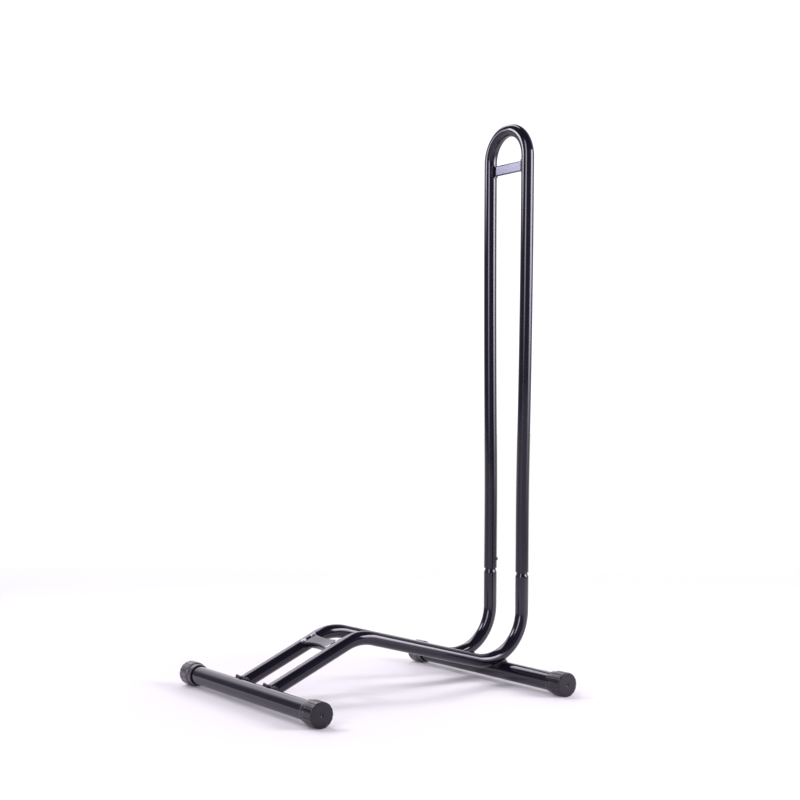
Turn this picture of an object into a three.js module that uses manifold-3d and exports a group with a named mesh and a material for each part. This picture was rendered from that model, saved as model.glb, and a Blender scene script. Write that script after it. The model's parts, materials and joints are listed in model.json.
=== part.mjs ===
// A display stand that holds one bicycle by its wheel. Two lower tubes rise from the front crossbar, bend
// over a low peak, run down to the rear crossbar and turn up. A tall hoop plugs over their drawn-in ends.
// X is the stand's width, Y runs from the front crossbar to the uprights, and Z is up from the floor.
import * as THREE from 'three';
import { mergeVertices } from 'three/addons/utils/BufferGeometryUtils.js';
import Module from 'manifold-3d';

const wasm = await Module();
wasm.setup();

// Frame tubes
const tubeDiameter = 19;
const tubeWall = 1.2;
const tubeSpacing = 74.5;
const hoopSpread = 13;
const bendRadius = 67;
const frontTubeLift = 1.9;
const frontSlopeAngle = 24.7;
const rearSlopeAngle = 14.1;
const seatAngle = 21.4;
const uprightSetback = 424.2;
const hoopHeight = 814;

// Plug joint between the lower tubes and the hoop
const jointHeight = 155;
const spigotLength = 76;
const shoulderLength = 6.5;
const hoopLead = 105;
const lockingScrewHeight = 14;
const lockingScrewBearing = 60;

// Crossbars and their end caps
const barDiameter = 25.4;
const barWall = 1.5;
const barWidth = 358;
const capCollarWall = 1.8;
const capCollarLength = 8;
const capFlareLength = 2.4;
const capHeadProud = 1.9;
const capHeadLength = 19.5;
const capRimChamfer = 1.4;
const capDomeHeight = 0.35;
const capEndThickness = 3.2;
const capDimpleDiameter = 5;
const capDimpleDepth = 1.2;
const capRibs = 16;
const capGrooveDepth = 0.7;
const capRibShare = 0.72;
const capFootDepth = 0.3;

// Saddle plates that carry the tubes on the crossbars
const saddleThickness = 1.5;
const saddleCornerRadius = 5.5;
const frontSaddleWrap = 94;
const frontSaddleFacing = 29;
const frontScrewFacing = 60;
const saddleScrewMargin = 4.4;
const saddleEdgeMargin = 3.2;
const rearSaddleWrap = 84;
const rearSaddleLength = 17;

// Pan-head screws
const saddleScrew = { headDiameter: 5.2, headHeight: 2.2, shankDiameter: 3.4, shankLength: 9, recessDepth: 1 };
const lockingScrew = { headDiameter: 4.6, headHeight: 1.8, shankDiameter: 3, shankLength: 1.1, recessDepth: 0.8 };
const recessShare = 0.32;
const headCrownShare = 0.62;

// Tyre rest between the lower tubes
const restLength = 31;
const restWaist = 17.5;
const restThickness = 2;
const restLipDepth = 7;
const restDrop = 2.5;
const restSetback = 14.5;
const restNotchLength = 10;
const restNotchDepth = 2;

// Plate near the top of the hoop
const plateHeight = 15.5;
const plateThickness = 1.6;
const plateDrop = 12.8;
const plateTabHeight = 18.5;
const plateTabThickness = 1.8;
const plateTabWrap = 56;

// Clearances and cutting overrun
const seatGap = 0.3;
const screwClearance = 0.25;
const overrun = 6;

// Facet counts
const tubeSides = 22;
const boreSides = 14;
const degreesPerRing = 10;
const barSides = 32;
const screwSides = 10;
const arcSteps = 8;
const cornerSteps = 3;
const leadRings = 2;
const legRings = 5;
const seatSteps = 96;

const paintedSteel = { color: 0x0c0c0f, roughness: 0.2, metalness: 0.1 };
const mouldedPlastic = { color: 0x2c2c30, roughness: 0.55, metalness: 0 };
const darkZinc = { color: 0x1c1c20, roughness: 0.35, metalness: 0.7 };

// Sizes that follow from the ones above
const radians = THREE.MathUtils.degToRad;
const tubeRadius = tubeDiameter / 2;
const boreRadius = tubeRadius - tubeWall;
const spigotRadius = boreRadius - seatGap;
const barRadius = barDiameter / 2;
const collarRadius = barRadius + seatGap + capCollarWall;
const capRadius = collarRadius + capHeadProud;
const axleHeight = capRadius - capFootDepth;
const saddleInner = barRadius + seatGap;
const saddleOuter = saddleInner + saddleThickness;
const saddleScrewOffset = tubeRadius + saddleScrewMargin;
const frontSaddleLength = 2 * (saddleScrewOffset + saddleEdgeMargin);
const frontTubeHeight = axleHeight + frontTubeLift;
const restHeight = tubeRadius - restDrop;

// The seat bend lies on the rear crossbar, and fixes the line of the rear slope
const seatDistance = barRadius + seatGap + tubeRadius + bendRadius;
const seatBendY = uprightSetback - bendRadius;
const seatBendZ = axleHeight + seatDistance * Math.cos(radians(seatAngle));
const rearBarY = seatBendY + seatDistance * Math.sin(radians(seatAngle));
const seatStartY = seatBendY - bendRadius * Math.sin(radians(rearSlopeAngle));
const seatStartZ = seatBendZ - bendRadius * Math.cos(radians(rearSlopeAngle));

// The two slopes meet at the peak, whose bend has the same radius
const slopeSum = Math.tan(radians(frontSlopeAngle)) + Math.tan(radians(rearSlopeAngle));
const peakY = (seatStartZ - frontTubeHeight + seatStartY * Math.tan(radians(rearSlopeAngle))) / slopeSum;
const peakZ = frontTubeHeight + peakY * Math.tan(radians(frontSlopeAngle));
const peakAngle = frontSlopeAngle + rearSlopeAngle;
const peakTangent = bendRadius * Math.tan(radians(peakAngle) / 2);
const frontRun = Math.hypot(peakY, peakZ - frontTubeHeight) - peakTangent;
const rearRun = Math.hypot(seatStartY - peakY, peakZ - seatStartZ) - peakTangent;

// Each hoop leg leans out over its lead and comes back upright where the top bend starts
const hoopTopRadius = (tubeSpacing + hoopSpread) / 2;
const hoopTopCentre = hoopHeight - tubeRadius - hoopTopRadius;
const legRise = hoopTopCentre - jointHeight - spigotLength;
const legLean = THREE.MathUtils.radToDeg(2 * Math.atan(hoopSpread / 2 / legRise));
const leadRadius = hoopLead / Math.sin(radians(legLean));
const legRadius = (legRise - hoopLead) / Math.sin(radians(legLean));
const plateCentreHeight = hoopTopCentre - plateDrop;
const plateHalfSpacing = hoopTopRadius - (legRadius - Math.sqrt(legRadius ** 2 - plateDrop ** 2));

// Converts between a geometry and a solid that can be cut and joined
function solidOf(geometry) {
  const bare = geometry.clone();
  bare.deleteAttribute('normal');
  bare.deleteAttribute('uv');
  const welded = mergeVertices(bare);
  const mesh = new wasm.Mesh({
    numProp: 3,
    vertProperties: new Float32Array(welded.attributes.position.array),
    triVerts: new Uint32Array(welded.index.array),
  });
  return new wasm.Manifold(mesh);
}

function geometryOf(solid) {
  const mesh = solid.getMesh();
  const geometry = new THREE.BufferGeometry();
  geometry.setAttribute('position', new THREE.BufferAttribute(mesh.vertProperties, 3));
  geometry.setIndex(new THREE.BufferAttribute(mesh.triVerts, 1));
  geometry.computeVertexNormals();
  return geometry;
}

// A polygon with its flats on a circle of this radius, so that a bore keeps its clearance
function acrossFlats(radius, sides) {
  return radius / Math.cos(Math.PI / sides);
}

// A route for a tube in one plane, written as a bender would set it up: straights and bends in turn.
// Headings are in degrees from the plane's first axis towards its second.
class BendRoute {
  constructor(first, second, heading) {
    this.first = first;
    this.second = second;
    this.heading = heading;
    this.stations = [];
    this.mark();
  }

  mark(outer = tubeRadius, bore = boreRadius) {
    const station = { first: this.first, second: this.second, heading: this.heading, outer, bore };
    this.stations.push(station);
    return this;
  }

  straight(length, outer, bore) {
    this.first += length * Math.cos(radians(this.heading));
    this.second += length * Math.sin(radians(this.heading));
    return this.mark(outer, bore);
  }

  bend(radius, angle) {
    const rings = Math.max(2, Math.ceil(Math.abs(angle) / degreesPerRing));
    return this.bendInRings(radius, angle, rings);
  }

  bendInRings(radius, angle, rings) {
    const chord = 2 * radius * Math.sin(radians(Math.abs(angle) / rings) / 2);
    for (let ring = 0; ring < rings; ring += 1) {
      this.heading += angle / rings / 2;
      this.first += chord * Math.cos(radians(this.heading));
      this.second += chord * Math.sin(radians(this.heading));
      this.heading += angle / rings / 2;
      this.mark();
    }
    return this;
  }
}

// Sweeps a hollow round section along a route. The plane is given by the directions of its two axes.
function tubeAlong(route, firstAxis, secondAxis) {
  const planeNormal = firstAxis.clone().cross(secondAxis);
  const perStation = tubeSides + boreSides;
  const vertices = [];
  const faces = [];
  const outerRing = [];
  const boreRing = [];
  for (let side = 0; side < tubeSides; side += 1) {
    outerRing.push((2 * Math.PI * side) / tubeSides);
  }
  for (let side = 0; side < boreSides; side += 1) {
    boreRing.push((-2 * Math.PI * side) / boreSides);
  }
  const ringPoints = (angles, radius) => angles.map(
    (angle) => new THREE.Vector2(radius * Math.cos(angle), radius * Math.sin(angle)));

  route.stations.forEach((station) => {
    const centre = firstAxis.clone().multiplyScalar(station.first).addScaledVector(secondAxis, station.second);
    const heading = firstAxis.clone().multiplyScalar(Math.cos(radians(station.heading)))
      .addScaledVector(secondAxis, Math.sin(radians(station.heading)));
    const side = planeNormal.clone().cross(heading);
    const section = [
      ...ringPoints(outerRing, station.outer),
      ...ringPoints(boreRing, acrossFlats(station.bore, boreSides)),
    ];
    section.forEach((point) => {
      const vertex = centre.clone().addScaledVector(side, point.x).addScaledVector(planeNormal, point.y);
      vertices.push(vertex.x, vertex.y, vertex.z);
    });
  });

  const joinRings = (start, sides) => {
    for (let side = 0; side < sides; side += 1) {
      const next = (side + 1) % sides;
      const [a, b] = [start + side, start + next];
      const [c, d] = [a + perStation, b + perStation];
      faces.push(a, b, d, a, d, c);
    }
  };
  for (let index = 0; index < route.stations.length - 1; index += 1) {
    joinRings(index * perStation, tubeSides);
    joinRings(index * perStation + tubeSides, boreSides);
  }

  const lastStart = (route.stations.length - 1) * perStation;
  const contour = ringPoints(outerRing, tubeRadius);
  const hole = ringPoints(boreRing, boreRadius);
  THREE.ShapeUtils.triangulateShape(contour, [hole]).forEach(([a, b, c]) => {
    faces.push(a, c, b);
    faces.push(lastStart + a, lastStart + b, lastStart + c);
  });

  const geometry = new THREE.BufferGeometry();
  geometry.setAttribute('position', new THREE.Float32BufferAttribute(vertices, 3));
  geometry.setIndex(faces);
  geometry.computeVertexNormals();
  return geometry;
}

// Lathes a profile of [distance along the axis, radius] points about X
function turnedAboutX(profile, sides) {
  const points = profile.map(([along, radius]) => new THREE.Vector2(radius, along));
  return new THREE.LatheGeometry(points, sides).rotateZ(-Math.PI / 2);
}

// Lathes a profile of [height, radius] points about Z
function turnedAboutZ(profile, sides) {
  const points = profile.map(([height, radius]) => new THREE.Vector2(radius, height));
  return new THREE.LatheGeometry(points, sides).rotateX(Math.PI / 2);
}

// A round cutter that stands on Z, from one height to another
function roundCutter(radius, low, high) {
  const cutter = new THREE.CylinderGeometry(radius, radius, high - low, screwSides);
  return cutter.rotateX(Math.PI / 2).translate(0, 0, (high + low) / 2);
}

// Turns a piece that faces up so that it faces an angle about a crossbar, from the rear (0) to the top (90)
function facing(geometry, angle) {
  return geometry.rotateX(radians(angle - 90));
}

// A lower tube, from the front saddle plate to the drawn-in end inside the hoop. Its front end is coped
// to the saddle plate.
function lowerTubeGeometry() {
  const uprightRun = jointHeight - seatGap - shoulderLength - seatBendZ;
  const spigotBore = spigotRadius - tubeWall;
  const midShoulder = (tubeRadius + spigotRadius) / 2 + tubeWall / 4;
  const route = new BendRoute(0, frontTubeHeight, frontSlopeAngle)
    .straight(frontRun)
    .bend(bendRadius, -peakAngle)
    .straight(rearRun)
    .bend(bendRadius, 90 + rearSlopeAngle)
    .straight(uprightRun)
    .straight(shoulderLength / 2, midShoulder, midShoulder - tubeWall)
    .straight(shoulderLength / 2, spigotRadius, spigotBore)
    .straight(spigotLength, spigotRadius, spigotBore);
  const tube = tubeAlong(route, new THREE.Vector3(0, 1, 0), new THREE.Vector3(0, 0, 1));
  const cope = new THREE.CylinderGeometry(
    saddleOuter + seatGap, saddleOuter + seatGap, tubeDiameter + overrun, barSides, 1);
  cope.rotateZ(Math.PI / 2).translate(0, 0, axleHeight);
  return geometryOf(solidOf(tube).subtract(solidOf(cope)));
}

// The hoop: straight guides over the spigots, legs that spread and close again, and a half-round top
function hoopRoute() {
  return new BendRoute(-tubeSpacing / 2, jointHeight, 90)
    .straight(spigotLength)
    .bendInRings(leadRadius, legLean, leadRings)
    .bendInRings(legRadius, -legLean, legRings)
    .bend(hoopTopRadius, -180)
    .bendInRings(legRadius, -legLean, legRings)
    .bendInRings(leadRadius, legLean, leadRings)
    .straight(spigotLength);
}

function hoopGeometry() {
  const tube = tubeAlong(hoopRoute(), new THREE.Vector3(1, 0, 0), new THREE.Vector3(0, 0, 1));
  const hoop = solidOf(tube.translate(0, uprightSetback, 0));
  const holes = [-1, 1].map((side) => {
    const hole = roundCutter(lockingScrew.shankDiameter / 2 + screwClearance, 0, tubeRadius + overrun);
    return solidOf(placeLockingPart(hole, side));
  });
  return geometryOf(holes.reduce((body, hole) => body.subtract(hole), hoop));
}

// Turns a piece that stands on Z to point rearwards and inwards from a hoop leg
function placeLockingPart(geometry, side) {
  geometry.rotateX(-Math.PI / 2).rotateZ(side * radians(lockingScrewBearing));
  return geometry.translate((side * tubeSpacing) / 2, uprightSetback, jointHeight + lockingScrewHeight);
}

// A pan-head screw on Z, with its head's underside at zero and a round recess in its crown
function screwGeometry(screw) {
  const headRadius = screw.headDiameter / 2;
  const recessRadius = headRadius * recessShare;
  const crownRadius = headRadius * headCrownShare;
  return turnedAboutZ([
    [-screw.shankLength, 0],
    [-screw.shankLength, screw.shankDiameter / 2],
    [0, screw.shankDiameter / 2],
    [0, headRadius],
    [screw.headHeight / 2, headRadius],
    [screw.headHeight, crownRadius],
    [screw.headHeight, recessRadius],
    [screw.headHeight - screw.recessDepth, 0],
  ], screwSides);
}

// A crossbar along X, with a hole for each screw that goes into it
function barGeometry(screwPlaces) {
  const half = barWidth / 2 - capEndThickness - seatGap;
  const bore = acrossFlats(barRadius - barWall, barSides);
  const tube = turnedAboutX([
    [-half, bore], [-half, barRadius], [half, barRadius], [half, bore], [-half, bore],
  ], barSides);
  const holes = screwPlaces.map((place) => saddleScrewHole(place));
  return geometryOf(holes.reduce((body, hole) => body.subtract(hole), solidOf(tube)));
}

function saddleScrewHole(along) {
  const hole = roundCutter(saddleScrew.shankDiameter / 2 + screwClearance, 0, saddleOuter + overrun);
  return solidOf(facing(hole, frontScrewFacing).translate(along, 0, 0));
}

// A strip rolled to the crossbar, with round corners
function rolledPlate(length, wrap, plateFacing) {
  const halfWrap = radians(wrap) / 2;
  const strip = new THREE.Shape();
  strip.absarc(0, 0, saddleOuter, Math.PI / 2 - halfWrap, Math.PI / 2 + halfWrap, false);
  strip.absarc(0, 0, saddleInner, Math.PI / 2 + halfWrap, Math.PI / 2 - halfWrap, true);
  const rolled = new THREE.ExtrudeGeometry(strip, {
    depth: length, bevelEnabled: false, curveSegments: arcSteps,
  });
  rolled.translate(0, 0, -length / 2).rotateY(Math.PI / 2).rotateX(Math.PI / 2);
  const chord = 2 * saddleOuter * Math.sin(halfWrap);
  const trim = new THREE.ExtrudeGeometry(roundedRectangle(length, chord, saddleCornerRadius), {
    depth: saddleOuter + overrun, bevelEnabled: false, curveSegments: cornerSteps,
  });
  return solidOf(facing(rolled, plateFacing)).intersect(solidOf(facing(trim, plateFacing)));
}

// A front saddle plate takes the coped end of its tube, with a screw each side
function frontSaddleGeometry() {
  return geometryOf(rolledPlate(frontSaddleLength, frontSaddleWrap, frontSaddleFacing)
    .subtract(saddleScrewHole(-saddleScrewOffset))
    .subtract(saddleScrewHole(saddleScrewOffset)));
}

// A rear saddle plate is a collar around the place where the tube's seat bend meets the crossbar
function rearSaddleGeometry() {
  const clearance = new THREE.TorusGeometry(bendRadius, tubeRadius + seatGap, tubeSides, seatSteps);
  clearance.rotateY(Math.PI / 2).translate(0, seatBendY - rearBarY, seatBendZ - axleHeight);
  const plate = rolledPlate(rearSaddleLength, rearSaddleWrap, 90 + seatAngle);
  return geometryOf(plate.subtract(solidOf(clearance)));
}

function roundedRectangle(width, height, corner) {
  const [right, top] = [width / 2, height / 2];
  const shape = new THREE.Shape();
  shape.moveTo(corner - right, -top);
  shape.absarc(right - corner, corner - top, corner, -Math.PI / 2, 0, false);
  shape.absarc(right - corner, top - corner, corner, 0, Math.PI / 2, false);
  shape.absarc(corner - right, top - corner, corner, Math.PI / 2, Math.PI, false);
  shape.absarc(corner - right, corner - top, corner, Math.PI, 1.5 * Math.PI, false);
  return shape;
}

// A moulded end cap, opening towards -X. Its head has flat ribs between shallow grooves, a chamfered rim
// and a slightly domed end with a dimple, and it is flat where it meets the floor.
function capGeometry() {
  const pitch = (2 * Math.PI) / capRibs;
  const ribHalf = (pitch * capRibShare) / 2;
  const grooveHalf = (pitch - 2 * ribHalf) / 4;
  const outerAngles = [];
  for (let rib = 0; rib < capRibs; rib += 1) {
    const middle = rib * pitch - Math.PI / 2;
    const grooveMiddle = middle + pitch / 2;
    outerAngles.push(
      { angle: middle - ribHalf, groove: false }, { angle: middle + ribHalf, groove: false },
      { angle: grooveMiddle - grooveHalf, groove: true }, { angle: grooveMiddle + grooveHalf, groove: true });
  }
  const end = barWidth / 2;
  const start = end - capCollarLength - capFlareLength - capHeadLength;
  const headStart = start + capCollarLength + capFlareLength;
  const rings = [
    { along: start, radius: collarRadius, fluted: false },
    { along: start + capCollarLength, radius: collarRadius, fluted: false },
    { along: headStart, radius: capRadius, fluted: true },
    { along: end - capRimChamfer, radius: capRadius, fluted: true },
    { along: end - capDomeHeight, radius: capRadius - capRimChamfer, fluted: false },
    { along: end, radius: capDimpleDiameter / 2, fluted: false },
  ];
  const vertices = [];
  const faces = [];
  const count = outerAngles.length;
  rings.forEach(({ along, radius, fluted }) => {
    outerAngles.forEach(({ angle, groove }) => {
      const reach = fluted && groove ? radius - capGrooveDepth : radius;
      vertices.push(along, reach * Math.cos(angle), reach * Math.sin(angle));
    });
  });
  for (let ring = 0; ring < rings.length - 1; ring += 1) {
    for (let point = 0; point < count; point += 1) {
      const [a, b] = [ring * count + point, ring * count + (point + 1) % count];
      faces.push(a, b, b + count, a, b + count, a + count);
    }
  }
  const startCentre = vertices.length / 3;
  vertices.push(start, 0, 0, end - capDimpleDepth, 0, 0);
  const lastRing = (rings.length - 1) * count;
  for (let point = 0; point < count; point += 1) {
    const next = (point + 1) % count;
    faces.push(startCentre, next, point);
    faces.push(startCentre + 1, lastRing + point, lastRing + next);
  }
  const body = new THREE.BufferGeometry();
  body.setAttribute('position', new THREE.Float32BufferAttribute(vertices, 3));
  body.setIndex(faces);

  const socketRadius = acrossFlats(barRadius + seatGap, barSides);
  const socketEnd = end - capEndThickness;
  const socket = turnedAboutX([
    [start - overrun, 0], [start - overrun, socketRadius], [socketEnd, socketRadius], [socketEnd, 0],
  ], barSides);
  const floor = new THREE.BoxGeometry(barWidth, 2 * capRadius, capRadius);
  floor.translate(end, 0, -axleHeight - capRadius / 2);
  return geometryOf(solidOf(body).subtract(solidOf(socket)).subtract(solidOf(floor)));
}

// The tyre rest: an hourglass plate with its curved edges turned down, coped to the lower tubes
function tyreRestGeometry() {
  const halfGap = tubeSpacing / 2;
  const halfLength = restLength / 2;
  const halfWaist = restWaist / 2;
  const notchHalf = restNotchLength / 2;
  const notchReach = halfGap - tubeRadius * Math.cos(Math.asin((restHeight - restThickness) / tubeRadius))
    - seatGap - restNotchDepth;
  const plan = new THREE.Shape();
  plan.moveTo(-halfGap, -halfLength);
  plan.quadraticCurveTo(0, halfLength - 2 * halfWaist, halfGap, -halfLength);
  plan.lineTo(halfGap, -notchHalf);
  plan.lineTo(notchReach, -notchHalf);
  plan.lineTo(notchReach, notchHalf);
  plan.lineTo(halfGap, notchHalf);
  plan.lineTo(halfGap, halfLength);
  plan.quadraticCurveTo(0, 2 * halfWaist - halfLength, -halfGap, halfLength);
  plan.lineTo(-halfGap, notchHalf);
  plan.lineTo(-notchReach, notchHalf);
  plan.lineTo(-notchReach, -notchHalf);
  plan.lineTo(-halfGap, -notchHalf);
  const sheet = new THREE.ExtrudeGeometry(plan, {
    depth: restThickness, bevelEnabled: false, curveSegments: arcSteps,
  });
  sheet.translate(0, 0, restHeight - restThickness);
  let rest = solidOf(sheet);
  [-1, 1].forEach((side) => {
    const edge = new THREE.Shape();
    const middle = side * (2 * halfWaist - halfLength);
    edge.moveTo(-halfGap, side * halfLength);
    edge.quadraticCurveTo(0, middle, halfGap, side * halfLength);
    edge.lineTo(halfGap, side * (halfLength - restThickness));
    edge.quadraticCurveTo(0, middle - side * restThickness, -halfGap, side * (halfLength - restThickness));
    const lip = new THREE.ExtrudeGeometry(edge, {
      depth: restLipDepth, bevelEnabled: false, curveSegments: arcSteps,
    });
    rest = rest.add(solidOf(lip.translate(0, 0, restHeight - restLipDepth)));
  });
  [-1, 1].forEach((side) => {
    const clear = acrossFlats(tubeRadius + seatGap, tubeSides);
    const cope = new THREE.CylinderGeometry(clear, clear, restLength + 2 * overrun, tubeSides);
    rest = rest.subtract(solidOf(cope.translate(side * halfGap, 0, 0)));
  });
  return geometryOf(rest);
}

// The plate across the top of the hoop, with end tabs rolled to the legs
function labelPlateGeometry() {
  const tabInner = tubeRadius + seatGap;
  const tabOuter = tabInner + plateTabThickness;
  const reach = plateHalfSpacing - tabInner - plateTabThickness / 2;
  const sheet = new THREE.BoxGeometry(2 * reach, plateThickness, plateHeight);
  const tabs = [-1, 1].map((side) => {
    const halfWrap = radians(plateTabWrap) / 2;
    const middle = side > 0 ? Math.PI : 0;
    const section = new THREE.Shape();
    section.absarc(0, 0, tabOuter, middle - halfWrap, middle + halfWrap, false);
    section.absarc(0, 0, tabInner, middle + halfWrap, middle - halfWrap, true);
    const tab = new THREE.ExtrudeGeometry(section, {
      depth: plateTabHeight, bevelEnabled: false, curveSegments: arcSteps,
    });
    return tab.translate(side * plateHalfSpacing, 0, -plateTabHeight / 2);
  });
  return geometryOf(tabs.reduce((plate, tab) => plate.add(solidOf(tab)), solidOf(sheet)));
}

// The stand is centred on its own length, with the floor at zero
const stand = new THREE.Group();
stand.position.y = (capRadius - uprightSetback - tubeRadius) / 2;

function place(name, geometry, finish, position = [0, 0, 0]) {
  const mesh = new THREE.Mesh(geometry, new THREE.MeshStandardMaterial(finish));
  mesh.name = name;
  mesh.position.set(...position);
  stand.add(mesh);
  return mesh;
}

const sides = [['left', -1], ['right', 1]];
const tubePlaces = sides.map(([, sign]) => (sign * tubeSpacing) / 2);
const screwPlaces = tubePlaces.flatMap((place) => [place - saddleScrewOffset, place + saddleScrewOffset]);

place('front_crossbar', barGeometry(screwPlaces), paintedSteel, [0, 0, axleHeight]);
place('rear_crossbar', barGeometry([]), paintedSteel, [0, rearBarY, axleHeight]);

sides.forEach(([side, sign]) => {
  const tubeX = (sign * tubeSpacing) / 2;
  [['front', 0], ['rear', rearBarY]].forEach(([bar, y]) => {
    const cap = capGeometry();
    if (sign < 0) cap.rotateZ(Math.PI);
    place(`end_cap_${bar}_${side}`, cap, mouldedPlastic, [0, y, axleHeight]);
  });
  place(`saddle_front_${side}`, frontSaddleGeometry(), paintedSteel, [tubeX, 0, axleHeight]);
  place(`saddle_rear_${side}`, rearSaddleGeometry(), paintedSteel, [tubeX, rearBarY, axleHeight]);
  [['inner', -sign], ['outer', sign]].forEach(([end, endSign]) => {
    const screw = screwGeometry(saddleScrew).translate(0, 0, saddleOuter + seatGap);
    place(`saddle_screw_${side}_${end}`, facing(screw, frontScrewFacing), darkZinc,
      [tubeX + endSign * saddleScrewOffset, 0, axleHeight]);
  });
});

sides.forEach(([side, sign]) => {
  place(`lower_tube_${side}`, lowerTubeGeometry(), paintedSteel, [(sign * tubeSpacing) / 2, 0, 0]);
  const screw = screwGeometry(lockingScrew).translate(0, 0, tubeRadius + seatGap);
  place(`locking_screw_${side}`, placeLockingPart(screw, sign), darkZinc);
});

place('upper_hoop', hoopGeometry(), paintedSteel);
place('label_plate', labelPlateGeometry(), paintedSteel, [0, uprightSetback, plateCentreHeight]);

const restAlong = frontRun - restSetback;
const tyreRest = place('tyre_rest', tyreRestGeometry(), paintedSteel, [
  0,
  restAlong * Math.cos(radians(frontSlopeAngle)),
  frontTubeHeight + restAlong * Math.sin(radians(frontSlopeAngle)),
]);
tyreRest.rotation.x = radians(frontSlopeAngle);

export default stand;
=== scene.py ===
import json
import math
import random
from math import radians

import bmesh
import bpy
import numpy as np
from mathutils import Matrix, Vector

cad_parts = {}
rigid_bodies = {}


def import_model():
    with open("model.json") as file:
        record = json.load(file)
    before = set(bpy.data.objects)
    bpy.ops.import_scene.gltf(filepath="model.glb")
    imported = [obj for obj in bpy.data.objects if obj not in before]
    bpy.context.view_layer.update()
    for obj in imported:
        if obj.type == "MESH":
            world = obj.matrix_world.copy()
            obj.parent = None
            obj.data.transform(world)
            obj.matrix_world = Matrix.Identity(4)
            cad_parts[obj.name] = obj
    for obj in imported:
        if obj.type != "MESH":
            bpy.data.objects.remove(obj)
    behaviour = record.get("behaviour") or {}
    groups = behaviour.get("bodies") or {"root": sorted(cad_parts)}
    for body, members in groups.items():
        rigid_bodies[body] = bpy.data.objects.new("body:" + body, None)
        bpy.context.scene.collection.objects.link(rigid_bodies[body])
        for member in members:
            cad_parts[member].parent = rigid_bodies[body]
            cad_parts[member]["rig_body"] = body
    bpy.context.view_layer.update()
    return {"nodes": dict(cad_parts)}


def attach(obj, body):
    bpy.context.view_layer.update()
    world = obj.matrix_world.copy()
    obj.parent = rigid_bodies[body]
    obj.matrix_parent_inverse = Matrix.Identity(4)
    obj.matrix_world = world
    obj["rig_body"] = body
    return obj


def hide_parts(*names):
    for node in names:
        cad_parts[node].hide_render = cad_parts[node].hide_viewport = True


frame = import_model()

MM = 0.001
GAP = 0.3  # the clearance that the CAD leaves between welded or plugged parts

# Radii of the round stock: frame tube, its drawn-in end, crossbar, and the plates rolled around a crossbar
TUBE_R = 9.5
BORE_R = 8.3
SPIGOT_R = 8.0
SPIGOT_BORE_R = 6.8
BAR_R = 12.7
BAR_BORE_R = 11.2
SADDLE_IN = 13.0
SADDLE_OUT = 14.5

# Where the crossbars and the uprights stand. BAR_HALF goes to the caps' end faces
BAR_HALF = 179.0
AXLE_Z = 16.4
FRONT_Y = -208.5
REAR_Y = 181.356
UPRIGHT_Y = 215.7

# Lower tubes. TUBE_LIFT is how far above the bar's axis they start, and SEAT_ANGLE is how far to the front
# of the rear bar's top they rest on it
HALF_SPACING = 37.25
TUBE_LIFT = 1.9
FRONT_SLOPE = 24.7
REAR_SLOPE = 14.1
SEAT_ANGLE = 21.4
BEND_R = 67.0

# The joint between lower tubes and hoop
JOINT_Z = 155.0
SPIGOT_LENGTH = 76.0
SHOULDER = 6.5
SHOULDER_ROUND = 5.4
SHOULDER_EDGE = 0.8

# Hoop: LEAD is the height of the outward curve at the foot of a leg, SPREAD is how much wider the top is
LEAD = 105.0
SPREAD = 13.0
TOP_R = 43.75
TOP_Z = 760.75

# Label plate, and the half distance between the hoop's legs at its height
PLATE_Z = 747.95
PLATE_SHEET = 1.6
PLATE_HALF_SPACING = 43.745


# ---------------------------------------------------------------- materials
class Nodes:
    """Builds a node tree. An input is named or numbered, and is given a constant or a socket to link."""

    def __init__(self, tree):
        self.tree = tree

    def add(self, kind, inputs=None, **settings):
        node = self.tree.nodes.new(kind)
        for name, value in settings.items():
            setattr(node, name, value)
        for key, value in (inputs or {}).items():
            if isinstance(value, bpy.types.NodeSocket):
                self.tree.links.new(value, node.inputs[key])
            else:
                node.inputs[key].default_value = value
        return node

    def maths(self, operation, *values):
        return self.add("ShaderNodeMath", dict(enumerate(values)), operation=operation).outputs["Value"]

    def dot(self, vector, constant):
        inputs = {0: vector, 1: constant}
        return self.add("ShaderNodeVectorMath", inputs, operation="DOT_PRODUCT").outputs["Value"]

    def ranged(self, value, start, end, low=0.0, high=1.0, kind="LINEAR"):
        """Maps start to end onto low to high, and holds the ends."""
        inputs = {"Value": value, "From Min": start, "From Max": end, "To Min": low, "To Max": high}
        return self.add("ShaderNodeMapRange", inputs, interpolation_type=kind).outputs["Result"]

    def smooth(self, value, start, end, low=0.0, high=1.0):
        return self.ranged(value, start, end, low, high, "SMOOTHSTEP")

    def place(self):
        return self.add("ShaderNodeTexCoord").outputs["Object"]

    def noise(self, scale, detail=2.0, roughness=0.5, stretch=None):
        source = self.place()
        if stretch is not None:
            source = self.add("ShaderNodeMapping", {"Vector": source, "Scale": stretch}).outputs["Vector"]
        inputs = {"Vector": source, "Scale": scale, "Detail": detail, "Roughness": roughness}
        return self.add("ShaderNodeTexNoise", inputs).outputs["Fac"]

    def uneven(self, low, high, scale, detail, roughness=0.5):
        """A number that drifts between low and high."""
        return self.ranged(self.noise(scale, detail, roughness), 0.3, 0.7, low, high)

    def ramp(self, value, *stops):
        """A colour between two stops, each a position and a colour."""
        node = self.add("ShaderNodeValToRGB", {"Fac": value})
        for element, (position, colour) in zip(node.color_ramp.elements, stops):
            element.position = position
            element.color = (*colour, 1.0)
        return node.outputs["Color"]

    def bump(self, height, distance, below=None):
        node = self.add("ShaderNodeBump", {"Height": height, "Distance": distance, "Strength": 1.0})
        if below is not None:
            self.tree.links.new(below, node.inputs["Normal"])
        return node.outputs["Normal"]

    def principled(self, inputs):
        return self.add("ShaderNodeBsdfPrincipled", inputs).outputs["BSDF"]

    def surface(self, shader):
        self.add("ShaderNodeOutputMaterial", {"Surface": shader})


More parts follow.
